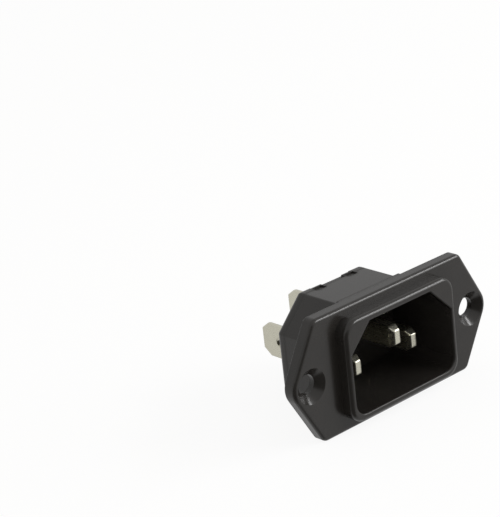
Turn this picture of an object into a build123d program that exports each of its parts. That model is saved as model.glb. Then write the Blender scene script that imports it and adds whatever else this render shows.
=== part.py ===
from build123d import *
import os

# Panel inlet socket, sizes in millimetres
# X runs along the flange, Y from the mating side to the wiring side, and Z is up.
# The origin is midway between the two screw holes, on the flange's rear face,
# which is the face that meets the panel.

# Screw holes, countersunk from the front
screw_spacing = 40.0
screw_hole_diameter = 3.6
countersink_diameter = 6.4
countersink_angle = 90.0

# Cavity that takes the plug
cavity_width = 24.8
cavity_height = 16.4
cavity_top_corner = 4.85
cavity_bottom_radius = 2.4
floor_thickness = 1.2

# Collar, the raised rim round the mouth, and its walls round the cavity
collar_side_wall = 1.1
collar_top_wall = 1.35
collar_corner_radius = 3.0
collar_projection = 2.5
collar_edge_round = 0.8
mouth_edge_round = 0.25

# Body, the box behind the flange, and its walls round the cavity
body_side_wall = 0.85
body_top_wall = 1.2
body_corner_wall = 0.8
body_edge_round = 0.6
housing_depth = 11.1

# Shoulder, the thicker root of the body that fills the panel cut-out
shoulder_step = 0.6
shoulder_depth = 2.7

# Flange, with straight edges above and below and a round tip about each screw hole
flange_thickness = 2.5
flange_margin = 1.75
flange_straight_margin = 3.8
flange_corner_radius = 1.5
flange_tip_radius = 4.0
flange_front_round = 0.7
flange_rear_round = 0.2

# Core-out pockets behind the collar's two top corners
pocket_wall = 0.75
pocket_skin = 1.0
pocket_tip_round = 0.3

# Rear cover, with a slope in its upper edge and a shallow dip between the upper latches
cover_thickness = 2.1
cover_edge_round = 1.2
cover_slope_depth = 1.1
cover_slope_height = 2.4
cover_slope_width = 10.0
cover_dip_width = 5.2
cover_dip_depth = 0.3

# Latches that hold the cover, two above and two below
latch_spacing = 7.8
latch_width = 2.2
latch_reach = 0.8
latch_seat = 0.6
latch_depth = 0.9
latch_sink = 0.3
latch_clearance = 0.1

# Contacts, each one piece with a pin in front and a tab behind
pin_thickness = 2.0
pin_width = 4.0
pin_edge_round = 0.2
pin_bevel_length = 1.2
pin_bevel_width = 0.35
pin_bevel_height = 0.75
live_pin_spacing = 14.0
live_pin_height = -2.0
earth_pin_height = 2.0
live_pin_recess = 4.6
earth_pin_recess = 1.5
stop_thickness = 3.0
stop_depth = 0.8
tab_thickness = 0.8
tab_width = 6.3
tab_reach = 10.7
tab_corner_width = 1.2
tab_corner_length = 1.6
tab_edge_bevel = 0.2
tab_hole_diameter = 2.1
tab_hole_from_tip = 4.8
contact_clearance = 0.05

# Recesses in the cover's rear face, one round each tab
recess_width = 2.8
recess_height = 8.6
recess_drop = 0.55
recess_depth = 0.7
recess_corner_radius = 0.3

# Outlines that follow from the cavity and the walls round it
collar_width = cavity_width + 2 * collar_side_wall
collar_height = cavity_height + 2 * collar_top_wall
flange_height = collar_height + 2 * flange_margin
flange_straight_length = collar_width + 2 * flange_straight_margin
body_width = cavity_width + 2 * body_side_wall
body_height = cavity_height + 2 * body_top_wall
body_bottom_radius = cavity_bottom_radius + body_side_wall
mitre = 2 ** 0.5
body_top_corner = (
    cavity_top_corner + body_side_wall + body_top_wall - body_corner_wall * mitre
)

# Places along Y that the pieces share
flange_front_y = -flange_thickness
mouth_y = flange_front_y - collar_projection
pocket_front_y = mouth_y + pocket_skin
floor_y = housing_depth - floor_thickness
seam_y = housing_depth
stop_rear_y = seam_y + stop_depth
cover_rear_y = seam_y + cover_thickness
tab_tip_y = cover_rear_y + tab_reach

# Contact places: x, z and the y of the pin's tip
contact_places = {
    "line_contact": (live_pin_spacing / 2, live_pin_height, mouth_y + live_pin_recess),
    "neutral_contact": (-live_pin_spacing / 2, live_pin_height, mouth_y + live_pin_recess),
    "earth_contact": (0.0, earth_pin_height, mouth_y + earth_pin_recess),
}
contact_points = [(x, z) for x, z, tip_y in contact_places.values()]


def section_at(y):
    """Plane across the inlet at this y, seen from the front. Extrusions run forward."""
    return Plane.XZ.offset(-y)


def socket_outline(width, height, top_corner, bottom_radius, edge_round=0.0, mode=Mode.ADD):
    """Upright box section with 45 degree top corners and round bottom corners."""
    right = width / 2
    top = height / 2
    with BuildLine() as outline:
        FilletPolyline(
            (right - top_corner, top),
            (right, top - top_corner),
            (right, -top),
            (-right, -top),
            (-right, top - top_corner),
            (top_corner - right, top),
            radius=[edge_round, edge_round, bottom_radius, bottom_radius, edge_round, edge_round],
            close=True,
        )
    make_face(outline.edges(), mode=mode)


def body_outline(grow=0.0, mode=Mode.ADD):
    """Section of the body, grown evenly on every side."""
    socket_outline(
        body_width + 2 * grow,
        body_height + 2 * grow,
        body_top_corner + grow * (2 - mitre),
        body_bottom_radius + grow,
        body_edge_round,
        mode,
    )


def latch_places(y, depth):
    """Middles of the four latches at this y, the given depth below the body's surface."""
    return [
        (x, y, side * (body_height / 2 - depth))
        for x in (-latch_spacing / 2, latch_spacing / 2)
        for side in (-1, 1)
    ]


# Housing: flange, collar, shoulder and body in one moulding
with BuildPart() as housing:
    with BuildSketch(section_at(0)):
        with GridLocations(screw_spacing, 0, 2, 1):
            Circle(flange_tip_radius)
        with GridLocations(flange_straight_length, flange_height - 2 * flange_corner_radius, 2, 2):
            Circle(flange_corner_radius)
        make_hull()
    extrude(amount=flange_thickness)
    fillet(housing.faces().sort_by(Axis.Y)[0].edges(), flange_front_round)
    fillet(housing.faces().sort_by(Axis.Y)[-1].edges(), flange_rear_round)

    with BuildSketch(section_at(flange_front_y)):
        RectangleRounded(collar_width, collar_height, collar_corner_radius)
    extrude(amount=collar_projection)
    fillet(housing.faces().sort_by(Axis.Y)[0].edges(), collar_edge_round)

    # Core-out pockets between the collar's top corners and the sloping sides of the shoulder
    pocket_right = collar_width / 2 - pocket_wall
    pocket_top = collar_height / 2 - pocket_wall
    slope_sum = (body_width + body_height) / 2 - body_top_corner + shoulder_step * mitre
    pocket_leg = pocket_right + pocket_top - slope_sum
    pocket_corner_radius = min(collar_corner_radius - pocket_wall, pocket_leg / 2)
    with BuildSketch(section_at(0)):
        with BuildLine():
            FilletPolyline(
                (pocket_right, pocket_top),
                (pocket_right, pocket_top - pocket_leg),
                (pocket_right - pocket_leg, pocket_top),
                radius=[pocket_corner_radius, pocket_tip_round, pocket_tip_round],
                close=True,
            )
        make_face()
        mirror(about=Plane.YZ)
    extrude(amount=-pocket_front_y, mode=Mode.SUBTRACT)

    with BuildSketch(section_at(0)):
        body_outline(shoulder_step)
    extrude(amount=-shoulder_depth)
    with BuildSketch(section_at(0)):
        body_outline()
    extrude(amount=-housing_depth)

    with BuildSketch(section_at(mouth_y)):
        socket_outline(cavity_width, cavity_height, cavity_top_corner, cavity_bottom_radius)
    extrude(amount=mouth_y - floor_y, mode=Mode.SUBTRACT)
    mouth_face = housing.faces().sort_by(Axis.Y)[0]
    fillet(mouth_face.inner_wires()[0].edges(), mouth_edge_round)

    with Locations(section_at(flange_front_y)):
        with GridLocations(screw_spacing, 0, 2, 1):
            CounterSinkHole(
                screw_hole_diameter / 2,
                countersink_diameter / 2,
                counter_sink_angle=countersink_angle,
            )

    with BuildSketch(section_at(seam_y)):
        with Locations(contact_points):
            Rectangle(
                pin_thickness + 2 * contact_clearance,
                pin_width + 2 * contact_clearance,
            )
    extrude(amount=floor_thickness, mode=Mode.SUBTRACT)

    with Locations(latch_places(seam_y - latch_reach / 2, latch_depth / 2)):
        Box(latch_width, latch_reach, latch_depth, mode=Mode.SUBTRACT)

# Rear cover: it closes the body behind and traps the contacts
with BuildPart() as rear_cover:
    with BuildSketch(section_at(seam_y)):
        body_outline()
    extrude(amount=-cover_thickness)
    fillet(rear_cover.faces().sort_by(Axis.Y)[-1].edges(), cover_edge_round)

    slope_foot_z = body_height / 2 - cover_slope_height
    slope_top_y = cover_rear_y - cover_slope_depth
    with BuildSketch(Plane.YZ):
        with BuildLine():
            Polyline(
                (slope_top_y, body_height / 2),
                (cover_rear_y, slope_foot_z),
                (cover_rear_y, body_height / 2),
                close=True,
            )
        make_face()
    extrude(amount=cover_slope_width / 2, both=True, mode=Mode.SUBTRACT)
    with Locations((0, seam_y + cover_thickness / 2, (body_height - cover_dip_depth) / 2)):
        Box(cover_dip_width, cover_thickness, cover_dip_depth, mode=Mode.SUBTRACT)

    with BuildSketch(section_at(stop_rear_y)):
        with Locations(contact_points):
            Rectangle(stop_thickness + 2 * contact_clearance, tab_width + 2 * contact_clearance)
    extrude(amount=stop_depth, mode=Mode.SUBTRACT)
    with BuildSketch(section_at(cover_rear_y)):
        with Locations(contact_points):
            Rectangle(tab_thickness + 2 * contact_clearance, tab_width + 2 * contact_clearance)
    extrude(amount=cover_thickness, mode=Mode.SUBTRACT)
    with BuildSketch(section_at(cover_rear_y)):
        with Locations([(x, z - recess_drop) for x, z in contact_points]):
            RectangleRounded(recess_width, recess_height, recess_corner_radius)
    extrude(amount=recess_depth, mode=Mode.SUBTRACT)

    lug_height = latch_depth - latch_sink - latch_clearance
    lug_reach = latch_reach - latch_clearance
    with Locations(latch_places(seam_y + latch_seat / 2, latch_sink / 2)):
        Box(latch_width, latch_seat, latch_sink, mode=Mode.SUBTRACT)
    with Locations(latch_places(seam_y - lug_reach / 2, latch_sink + lug_height / 2)):
        Box(latch_width - 2 * latch_clearance, lug_reach, lug_height)


def build_contact(x, z, tip_y):
    """Contact with its pin and tab centred on x, z."""
    with BuildPart() as contact:
        with BuildSketch(section_at(seam_y)):
            with Locations((x, z)):
                RectangleRounded(pin_thickness, pin_width, pin_edge_round)
        extrude(amount=seam_y - tip_y - pin_bevel_length)
        with BuildSketch(section_at(tip_y + pin_bevel_length)):
            with Locations((x, z)):
                RectangleRounded(pin_thickness, pin_width, pin_edge_round)
        with BuildSketch(section_at(tip_y)):
            with Locations((x, z)):
                RectangleRounded(
                    pin_thickness - 2 * pin_bevel_width,
                    pin_width - 2 * pin_bevel_height,
                    pin_edge_round,
                )
        loft()

        with BuildSketch(section_at(stop_rear_y)):
            with Locations((x, z)):
                Rectangle(stop_thickness, tab_width)
        extrude(amount=stop_depth)

        tab_top = z + tab_width / 2
        tab_bottom = z - tab_width / 2
        with BuildSketch(Plane.YZ.offset(x)):
            with BuildLine():
                Polyline(
                    (stop_rear_y, tab_top),
                    (tab_tip_y - tab_corner_length, tab_top),
                    (tab_tip_y, tab_top - tab_corner_width),
                    (tab_tip_y, tab_bottom + tab_corner_width),
                    (tab_tip_y - tab_corner_length, tab_bottom),
                    (stop_rear_y, tab_bottom),
                    close=True,
                )
            make_face()
        extrude(amount=tab_thickness / 2, both=True)
        tab_sides = contact.faces().filter_by(Axis.X).group_by(Face.area)[-1]
        bevel_start_y = tab_tip_y - tab_corner_length
        tip_edges = tab_sides.edges().filter_by(lambda edge: edge.center().Y > bevel_start_y)
        chamfer(tip_edges, tab_edge_bevel)

        with Locations(Plane.YZ.offset(x)):
            with Locations((tab_tip_y - tab_hole_from_tip, z)):
                Hole(tab_hole_diameter / 2)
    return contact


os.makedirs("parts", exist_ok=True)

housing.part.label = "housing"
export_step(housing.part, "parts/housing.step")
rear_cover.part.label = "rear_cover"
export_step(rear_cover.part, "parts/rear_cover.step")

for name, (x, z, tip_y) in contact_places.items():
    contact = build_contact(x, z, tip_y)
    contact.part.label = name
    export_step(contact.part, f"parts/{name}.step")
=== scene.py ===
import math

import bpy
from bpy.props import FloatProperty, FloatVectorProperty, PointerProperty
from mathutils import Matrix, Vector


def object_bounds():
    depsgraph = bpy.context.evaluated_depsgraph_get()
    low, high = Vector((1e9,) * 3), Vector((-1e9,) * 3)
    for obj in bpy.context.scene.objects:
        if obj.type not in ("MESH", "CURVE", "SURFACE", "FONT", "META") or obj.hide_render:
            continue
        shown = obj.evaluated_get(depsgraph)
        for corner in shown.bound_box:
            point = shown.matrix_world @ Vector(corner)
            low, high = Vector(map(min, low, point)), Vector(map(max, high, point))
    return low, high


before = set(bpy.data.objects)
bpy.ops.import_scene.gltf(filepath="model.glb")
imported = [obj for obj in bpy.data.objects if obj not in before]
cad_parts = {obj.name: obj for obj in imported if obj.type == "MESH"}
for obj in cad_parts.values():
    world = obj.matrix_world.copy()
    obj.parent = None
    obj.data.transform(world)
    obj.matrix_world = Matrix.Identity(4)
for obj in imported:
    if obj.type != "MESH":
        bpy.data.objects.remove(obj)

bl_info = {
    "name": "Panel Inlet Looks",
    "version": (1, 0, 0),
    "blender": (4, 5, 0),
    "location": "View3D > Sidebar > Inlet",
    "description": "Finishes and stages a moulded panel inlet with plated contacts",
    "category": "Object",
}

MM = 0.001
CAD_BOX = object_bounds()
PLASTIC_NODES = ("housing", "rear_cover")
CONTACT_NODES = ("line_contact", "neutral_contact", "earth_contact")

# The picture's frame in pixels, and where the object's origin stands in it
PICTURE_WIDTH = 500
PICTURE_HEIGHT = 517
ORIGIN_ACROSS = 384.5
ORIGIN_DOWN = 343.3

# The camera's sensor in millimetres, and the nearest and furthest that it sees in metres
SENSOR_WIDTH = 36
NEAREST = 0.01
FURTHEST = 20

# The plastic's patterns: the sinks over its thick places, and the tool's grain
SINK_WIDTH = 5 * MM
SINK_DEPTH = 0.05 * MM
GRAIN_DEPTH = 0.004 * MM

# The plastic's dulled edges: the share of rays into the solid that meet no other face nearby,
# on an edge and on a flat, and what the dulling adds to the roughness
CLEAR_ON_EDGE = 0.6
CLEAR_ON_FLAT = 0.86
DULLING = 0.3

# The plating's patterns: cloudy tone, and rolling lines twenty times as long as they are wide
CLOUD_WIDTH = 2.5 * MM
LINE_WIDTH = 0.12 * MM
LINE_SHORTENING = 0.05
LINE_DEPTH = 0.004 * MM

# Half the length over which the pins' round noses turn into the tabs' sharper edges
NOSE_FADE = MM

# The values between which a noise pattern mostly stays, and how far it moves the roughness
NOISE_LOW = 0.3
NOISE_HIGH = 0.7
ROUGHNESS_SPREAD = 0.03

# The Mix node's colour sockets, which share their names with its sockets for numbers
MIX_FIRST = 6
MIX_SECOND = 7
MIX_RESULT = 2

# The floor: its glow at the object, where full white is 1, and the shares of its radius
# between which it turns white
FLOOR_SIDES = 96
FLOOR_GLOW = 0.9
FLOOR_FADE = (0.1, 0.9)

# The room's open side, below the camera: its direction, and the cosines of the angles to it
# between which the walls turn dim
OPEN_SIDE = (-0.66, -0.66, -0.36)
OPEN_SIDE_FADE = (0.58, 0.82)

# The room's brightness: its walls and its open side in a reflection, and its light on things
WALLS_REFLECTED = 0.74
OPEN_SIDE_REFLECTED = 0.05
ROOM_LIGHT = 0.75

# The lamps: place and size in metres, and power in watts
LAMPS = {
    "key": {"place": (0.391, -0.319, 0.325), "width": 0.44, "height": 0.1, "power": 1.35},
    "fill": {"place": (0.4, -0.396, 0.22), "width": 0.44, "height": 0.24, "power": 1.2},
}


def linear(hex_colour):
    """Linear RGBA of an sRGB hex colour such as 23211f."""
    channels = [int(hex_colour[i:i + 2], 16) / 255 for i in (0, 2, 4)]
    return tuple(
        c / 12.92 if c <= 0.04045 else ((c + 0.055) / 1.055) ** 2.4 for c in channels
    ) + (1.0,)


def shade(colour, factor):
    """Darker or lighter form of a linear RGBA colour."""
    return tuple(factor * c for c in colour[:3]) + (1.0,)


def add_node(tree, kind, settings=None, inputs=None):
    """Add a node, with its settings, and with a value or a link for each input."""
    node = tree.nodes.new(kind)
    for name, value in (settings or {}).items():
        setattr(node, name, value)
    for name, value in (inputs or {}).items():
        if isinstance(value, bpy.types.NodeSocket):
            tree.links.new(value, node.inputs[name])
        else:
            node.inputs[name].default_value = value
    return node


def new_tree(owner):
    """Empty node tree of a material or the world."""
    owner.use_nodes = True
    owner.node_tree.nodes.clear()
    return owner.node_tree


def assign(names, material):
    """Give the CAD pieces their finish."""
    for name in names:
        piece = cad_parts[name]
        piece.data.materials.clear()
        piece.data.materials.append(material)


class InletPlasticSettings(bpy.types.PropertyGroup):
    colour: FloatVectorProperty(
        name="Colour",
        description="Colour of the moulded black",
        subtype="COLOR",
        size=4,
        min=0,
        max=1,
        default=linear("23211f"),
    )
    roughness: FloatProperty(
        name="Roughness",
        description="Roughness of the moulded skin",
        default=0.22,
        min=0,
        max=1,
    )
    grain: FloatProperty(
        name="Grain",
        description="Width of one grain of the tool's texture",
        default=0.22 * MM,
        unit="LENGTH",
        precision=5,
    )
    rub: FloatProperty(
        name="Rub",
        description="How far from an edge handling has dulled the gloss",
        default=0.8 * MM,
        unit="LENGTH",
        precision=5,
    )


class InletContactSettings(bpy.types.PropertyGroup):
    colour: FloatVectorProperty(
        name="Colour",
        description="Colour of the nickel plating",
        subtype="COLOR",
        size=4,
        min=0,
        max=1,
        default=linear("d4d1c0"),
    )
    roughness: FloatProperty(
        name="Roughness",
        description="Roughness of the plating",
        default=0.28,
        min=0,
        max=1,
    )
    nose: FloatProperty(
        name="Nose",
        description="Radius of the rounded edges at the pins' front ends",
        default=0.6 * MM,
        unit="LENGTH",
        precision=5,
    )
    edge: FloatProperty(
        name="Edge",
        description="Radius to which tumbling has worn the tabs' stamped edges",
        default=0.2 * MM,
        unit="LENGTH",
        precision=5,
    )


class InletStageSettings(bpy.types.PropertyGroup):
    azimuth: FloatProperty(
        name="Azimuth",
        description="Camera's direction round the object",
        subtype="ANGLE",
        default=math.radians(-43.86),
    )
    elevation: FloatProperty(
        name="Elevation",
        description="Camera's height above the horizon",
        subtype="ANGLE",
        default=math.radians(23.52),
    )
    roll: FloatProperty(
        name="Roll",
        description="How far the object leans to the left in the picture",
        subtype="ANGLE",
        default=math.radians(5.13),
    )
    distance: FloatProperty(
        name="Distance",
        description="From the camera to the object's origin",
        default=314 * MM,
        unit="LENGTH",
    )
    pixels_per_mm: FloatProperty(
        name="Pixels per millimetre",
        description="Scale of the picture at the object's origin",
        default=5.702,
    )
    floor_radius: FloatProperty(
        name="Floor radius",
        description="Radius of the pale floor",
        default=1.6,
        unit="LENGTH",
    )


def uneven(tree, settings, tones, glosses, darkest, lightest):
    """Colour and roughness of a finish, each a little uneven, as its noise pattern says."""
    tone = add_node(
        tree, "ShaderNodeMix", {"data_type": "RGBA"},
        {
            "Factor": tones.outputs["Fac"],
            MIX_FIRST: shade(settings.colour, darkest),
            MIX_SECOND: shade(settings.colour, lightest),
        },
    )
    gloss = add_node(
        tree, "ShaderNodeMapRange",
        inputs={
            "Value": glosses.outputs["Fac"],
            "From Min": NOISE_LOW, "From Max": NOISE_HIGH,
            "To Min": settings.roughness - ROUGHNESS_SPREAD,
            "To Max": settings.roughness + ROUGHNESS_SPREAD,
        },
    )
    return tone.outputs[MIX_RESULT], gloss.outputs["Result"]


def moulded_plastic(settings):
    """Glossy black thermoplastic, injection moulded in a smooth, finely grained tool."""
    # The skin mirrors a pale room softly. Slight sinks bend its reflections, and its edges are
    # a little duller. A real grain is too fine to show, so it is drawn as wide as it needs.
    material = bpy.data.materials.new("glossy_moulded_thermoplastic")
    tree = new_tree(material)
    place = add_node(tree, "ShaderNodeTexCoord").outputs["Object"]
    grain = add_node(
        tree, "ShaderNodeTexNoise",
        inputs={"Vector": place, "Scale": 1 / settings.grain, "Detail": 2.0, "Roughness": 0.6},
    )
    flow = add_node(
        tree, "ShaderNodeTexNoise",
        inputs={"Vector": place, "Scale": 1 / SINK_WIDTH, "Detail": 3.0, "Roughness": 0.55},
    )
    tone, gloss = uneven(
        tree, settings, tones=flow, glosses=flow, darkest=0.8, lightest=1.2,
    )
    clear = add_node(
        tree, "ShaderNodeAmbientOcclusion",
        {"inside": True, "only_local": True, "samples": 8}, {"Distance": settings.rub},
    )
    rub = add_node(
        tree, "ShaderNodeMapRange",
        inputs={
            "Value": clear.outputs["AO"],
            "From Min": CLEAR_ON_EDGE, "From Max": CLEAR_ON_FLAT,
            "To Min": DULLING, "To Max": 0.0,
        },
    )
    rubbed = add_node(
        tree, "ShaderNodeMath", {"operation": "ADD"}, {0: gloss, 1: rub.outputs["Result"]},
    )
    sink = add_node(
        tree, "ShaderNodeBump",
        inputs={"Height": flow.outputs["Fac"], "Strength": 0.25, "Distance": SINK_DEPTH},
    )
    skin = add_node(
        tree, "ShaderNodeBump",
        inputs={
            "Height": grain.outputs["Fac"], "Normal": sink.outputs["Normal"],
            "Strength": 0.15, "Distance": GRAIN_DEPTH,
        },
    )
    shader = add_node(
        tree, "ShaderNodeBsdfPrincipled",
        inputs={
            "Base Color": tone, "Roughness": rubbed.outputs[0],
            "IOR": 1.44, "Normal": skin.outputs["Normal"],
        },
    )
    add_node(tree, "ShaderNodeOutputMaterial", inputs={"Surface": shader.outputs["BSDF"]})
    return material


def nickel_plated_brass(settings):
    """Nickel-plated brass, stamped from rolled strip and tumbled."""
    # The plating is a pale warm silver, a little cloudy, with fine rolling lines along Y, and
    # tumbling has rounded its edges. Real lines are too fine to show, so they are drawn wider.
    material = bpy.data.materials.new("nickel_plated_brass")
    tree = new_tree(material)
    place = add_node(tree, "ShaderNodeTexCoord").outputs["Object"]
    along = add_node(
        tree, "ShaderNodeMapping",
        inputs={"Vector": place, "Scale": (1.0, LINE_SHORTENING, 1.0)},
    )
    lines = add_node(
        tree, "ShaderNodeTexNoise",
        inputs={"Vector": along.outputs["Vector"], "Scale": 1 / LINE_WIDTH, "Detail": 3.0},
    )
    clouds = add_node(
        tree, "ShaderNodeTexNoise",
        inputs={"Vector": place, "Scale": 1 / CLOUD_WIDTH, "Detail": 4.0, "Roughness": 0.6},
    )
    tone, gloss = uneven(
        tree, settings, tones=clouds, glosses=lines, darkest=0.9, lightest=1.05,
    )
    split = add_node(tree, "ShaderNodeSeparateXYZ", inputs={"Vector": place})
    radius = add_node(
        tree, "ShaderNodeMapRange",
        inputs={
            "Value": split.outputs["Y"],
            "From Min": -NOSE_FADE, "From Max": NOSE_FADE,
            "To Min": settings.nose, "To Max": settings.edge,
        },
    )
    worn = add_node(
        tree, "ShaderNodeBevel", {"samples": 16}, {"Radius": radius.outputs["Result"]},
    )
    relief = add_node(
        tree, "ShaderNodeBump",
        inputs={
            "Height": lines.outputs["Fac"], "Normal": worn.outputs["Normal"],
            "Strength": 0.05, "Distance": LINE_DEPTH,
        },
    )
    shader = add_node(
        tree, "ShaderNodeBsdfPrincipled",
        inputs={
            "Base Color": tone, "Metallic": 1.0,
            "Roughness": gloss, "Normal": relief.outputs["Normal"],
        },
    )
    add_node(tree, "ShaderNodeOutputMaterial", inputs={"Surface": shader.outputs["BSDF"]})
    return material


def background_rays(tree):
    """One where a ray comes from the camera, a reflection or a clear body, zero elsewhere."""
    path = add_node(tree, "ShaderNodeLightPath")
    glossy = add_node(
        tree, "ShaderNodeMath", {"operation": "ADD"},
        {0: path.outputs["Is Camera Ray"], 1: path.outputs["Is Glossy Ray"]},
    )
    every = add_node(
        tree, "ShaderNodeMath", {"operation": "ADD", "use_clamp": True},
        {0: glossy.outputs[0], 1: path.outputs["Is Transmission Ray"]},
    )
    return every.outputs[0]


def pale_floor(radius):
    """White paper sweep: matt and nearly white, so that a soft shadow shows on it."""
    # It is clear from below, and whiter away from the object, so that no edge of it shows
    material = bpy.data.materials.new("white_paper_sweep")
    tree = new_tree(material)
    place = add_node(tree, "ShaderNodeTexCoord").outputs["Object"]
    reach = add_node(tree, "ShaderNodeVectorMath", {"operation": "LENGTH"}, {0: place})
    fade = add_node(
        tree, "ShaderNodeMapRange", {"interpolation_type": "SMOOTHSTEP"},
        {
            "Value": reach.outputs["Value"],
            "From Min": FLOOR_FADE[0] * radius, "From Max": FLOOR_FADE[1] * radius,
            "To Min": FLOOR_GLOW, "To Max": 1.0,
        },
    )
    seen = add_node(
        tree, "ShaderNodeMath", {"operation": "MULTIPLY"},
        {0: fade.outputs["Result"], 1: background_rays(tree)},
    )
    paper = add_node(tree, "ShaderNodeBsdfDiffuse", inputs={"Color": linear("f2f2f1")})
    glow = add_node(
        tree, "ShaderNodeEmission", inputs={"Color": linear("ffffff"), "Strength": 1.0},
    )
    mixed = add_node(
        tree, "ShaderNodeMixShader",
        inputs={0: seen.outputs[0], 1: paper.outputs["BSDF"], 2: glow.outputs["Emission"]},
    )
    clear = add_node(tree, "ShaderNodeBsdfTransparent")
    sides = add_node(tree, "ShaderNodeNewGeometry")
    sheet = add_node(
        tree, "ShaderNodeMixShader",
        inputs={
            0: sides.outputs["Backfacing"], 1: mixed.outputs["Shader"],
            2: clear.outputs["BSDF"],
        },
    )
    add_node(tree, "ShaderNodeOutputMaterial", inputs={"Surface": sheet.outputs["Shader"]})
    return material


class InletFinishPlastic(bpy.types.Operator):
    """Finish the housing and the rear cover as moulded plastic"""

    bl_idname = "inlet.finish_plastic"
    bl_label = "Finish Plastic"

    def execute(self, context):
        assign(PLASTIC_NODES, moulded_plastic(context.scene.inlet_plastic))
        return {"FINISHED"}


class InletFinishContacts(bpy.types.Operator):
    """Finish the three contacts as nickel-plated brass"""

    bl_idname = "inlet.finish_contacts"
    bl_label = "Finish Contacts"

    def execute(self, context):
        assign(CONTACT_NODES, nickel_plated_brass(context.scene.inlet_contact))
        return {"FINISHED"}


def add_floor(settings):
    """Round floor under the object's lowest edge, which no reflection shows."""
    bpy.ops.object.select_all(action="DESELECT")
    bpy.ops.mesh.primitive_circle_add(
        vertices=FLOOR_SIDES,
        radius=settings.floor_radius,
        fill_type="NGON",
        location=(0, 0, CAD_BOX[0].z),
    )
    floor = bpy.context.object
    floor.name = "floor"
    bpy.ops.object.transform_apply(location=True)
    floor.data.materials.append(pale_floor(settings.floor_radius))
    floor.visible_glossy = False


def add_world():
    """White room: white to the camera, and less so in reflections, dim on its open side."""
    world = bpy.data.worlds.new("white_room")
    bpy.context.scene.world = world
    tree = new_tree(world)
    place = add_node(tree, "ShaderNodeTexCoord").outputs["Generated"]
    facing = add_node(
        tree, "ShaderNodeVectorMath", {"operation": "DOT_PRODUCT"}, {0: place, 1: OPEN_SIDE},
    )
    walls = add_node(
        tree, "ShaderNodeMapRange", {"interpolation_type": "SMOOTHSTEP"},
        {
            "Value": facing.outputs["Value"],
            "From Min": OPEN_SIDE_FADE[0], "From Max": OPEN_SIDE_FADE[1],
            "To Min": WALLS_REFLECTED, "To Max": OPEN_SIDE_REFLECTED,
        },
    )
    path = add_node(tree, "ShaderNodeLightPath")
    shown = add_node(
        tree, "ShaderNodeMath", {"operation": "MAXIMUM"},
        {0: walls.outputs["Result"], 1: path.outputs["Is Camera Ray"]},
    )
    seen = add_node(
        tree, "ShaderNodeBackground",
        inputs={"Color": linear("ffffff"), "Strength": shown.outputs[0]},
    )
    light = add_node(
        tree, "ShaderNodeBackground",
        inputs={"Color": linear("fffdf9"), "Strength": ROOM_LIGHT},
    )
    mixed = add_node(
        tree, "ShaderNodeMixShader",
        inputs={
            0: background_rays(tree), 1: light.outputs["Background"],
            2: seen.outputs["Background"],
        },
    )
    add_node(tree, "ShaderNodeOutputWorld", inputs={"Surface": mixed.outputs["Shader"]})


def add_lamps():
    """Soft rectangular lamps to the right of the camera, turned to the object."""
    for name, box in LAMPS.items():
        lamp = bpy.data.lights.new(name, "AREA")
        lamp.shape = "RECTANGLE"
        lamp.size = box["width"]
        lamp.size_y = box["height"]
        lamp.energy = box["power"]
        holder = bpy.data.objects.new(name, lamp)
        bpy.context.scene.collection.objects.link(holder)
        holder.location = box["place"]
        holder.rotation_euler = (-Vector(box["place"])).to_track_quat("-Z", "Y").to_euler()


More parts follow.
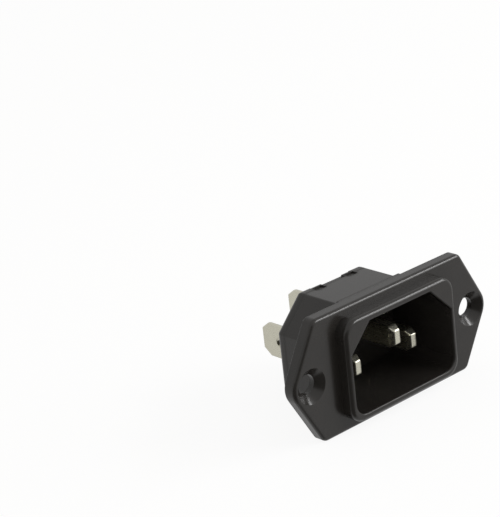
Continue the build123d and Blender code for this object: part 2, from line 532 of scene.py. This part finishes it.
def add_camera(settings):
    """Camera on the picture's line of sight, with the origin at its place in the frame."""
    azimuth, elevation, roll = settings.azimuth, settings.elevation, settings.roll
    level = math.cos(elevation)
    back = Vector((math.sin(azimuth) * level, -math.cos(azimuth) * level, math.sin(elevation)))
    right = Vector((math.cos(azimuth), math.sin(azimuth), 0))
    up = back.cross(right)
    across = right * math.cos(roll) - up * math.sin(roll)
    upward = right * math.sin(roll) + up * math.cos(roll)
    facing = Matrix((across, upward, back)).transposed()

    # In pixels: the distance to the frame, and the line through the origin's place in it
    focal = settings.pixels_per_mm * settings.distance / MM
    origin_line = Vector(
        (ORIGIN_ACROSS - PICTURE_WIDTH / 2, PICTURE_HEIGHT / 2 - ORIGIN_DOWN, -focal)
    )
    turn = Vector((0, 0, -1)).rotation_difference(origin_line).to_matrix()
    off_axis = focal / origin_line.length

    data = bpy.data.cameras.new("camera")
    data.sensor_width = SENSOR_WIDTH
    data.lens = data.sensor_width * focal * off_axis / max(PICTURE_WIDTH, PICTURE_HEIGHT)
    data.clip_start = NEAREST
    data.clip_end = FURTHEST
    camera = bpy.data.objects.new("camera", data)
    bpy.context.scene.collection.objects.link(camera)
    camera.matrix_world = (
        Matrix.Translation(back * settings.distance) @ (facing @ turn.transposed()).to_4x4()
    )
    bpy.context.scene.camera = camera


class InletStage(bpy.types.Operator):
    """Add the floor, the white room, the lamps and the camera"""

    bl_idname = "inlet.stage"
    bl_label = "Stage"

    def execute(self, context):
        settings = context.scene.inlet_stage
        add_floor(settings)
        add_world()
        add_lamps()
        add_camera(settings)
        context.scene.view_settings.view_transform = "Standard"
        return {"FINISHED"}


# Each step: the name of its settings in the scene, their group, and its operator
STEPS = (
    ("inlet_plastic", InletPlasticSettings, InletFinishPlastic),
    ("inlet_contact", InletContactSettings, InletFinishContacts),
    ("inlet_stage", InletStageSettings, InletStage),
)


class InletPanel(bpy.types.Panel):
    """List the settings and the operator of each step"""

    bl_idname = "VIEW3D_PT_inlet"
    bl_label = "Panel Inlet"
    bl_space_type = "VIEW_3D"
    bl_region_type = "UI"
    bl_category = "Inlet"

    def draw(self, context):
        for name, group, operator in STEPS:
            box = self.layout.box()
            for setting in group.__annotations__:
                box.prop(getattr(context.scene, name), setting)
            box.operator(operator.bl_idname)


def register():
    for name, group, operator in STEPS:
        bpy.utils.register_class(group)
        setattr(bpy.types.Scene, name, PointerProperty(type=group))
        bpy.utils.register_class(operator)
    bpy.utils.register_class(InletPanel)


def unregister():
    bpy.utils.unregister_class(InletPanel)
    for name, group, operator in reversed(STEPS):
        bpy.utils.unregister_class(operator)
        delattr(bpy.types.Scene, name)
        bpy.utils.unregister_class(group)


def main():
    register()
    bpy.ops.inlet.finish_plastic()
    bpy.ops.inlet.finish_contacts()
    bpy.ops.inlet.stage()


if __name__ == "__main__":
    main()
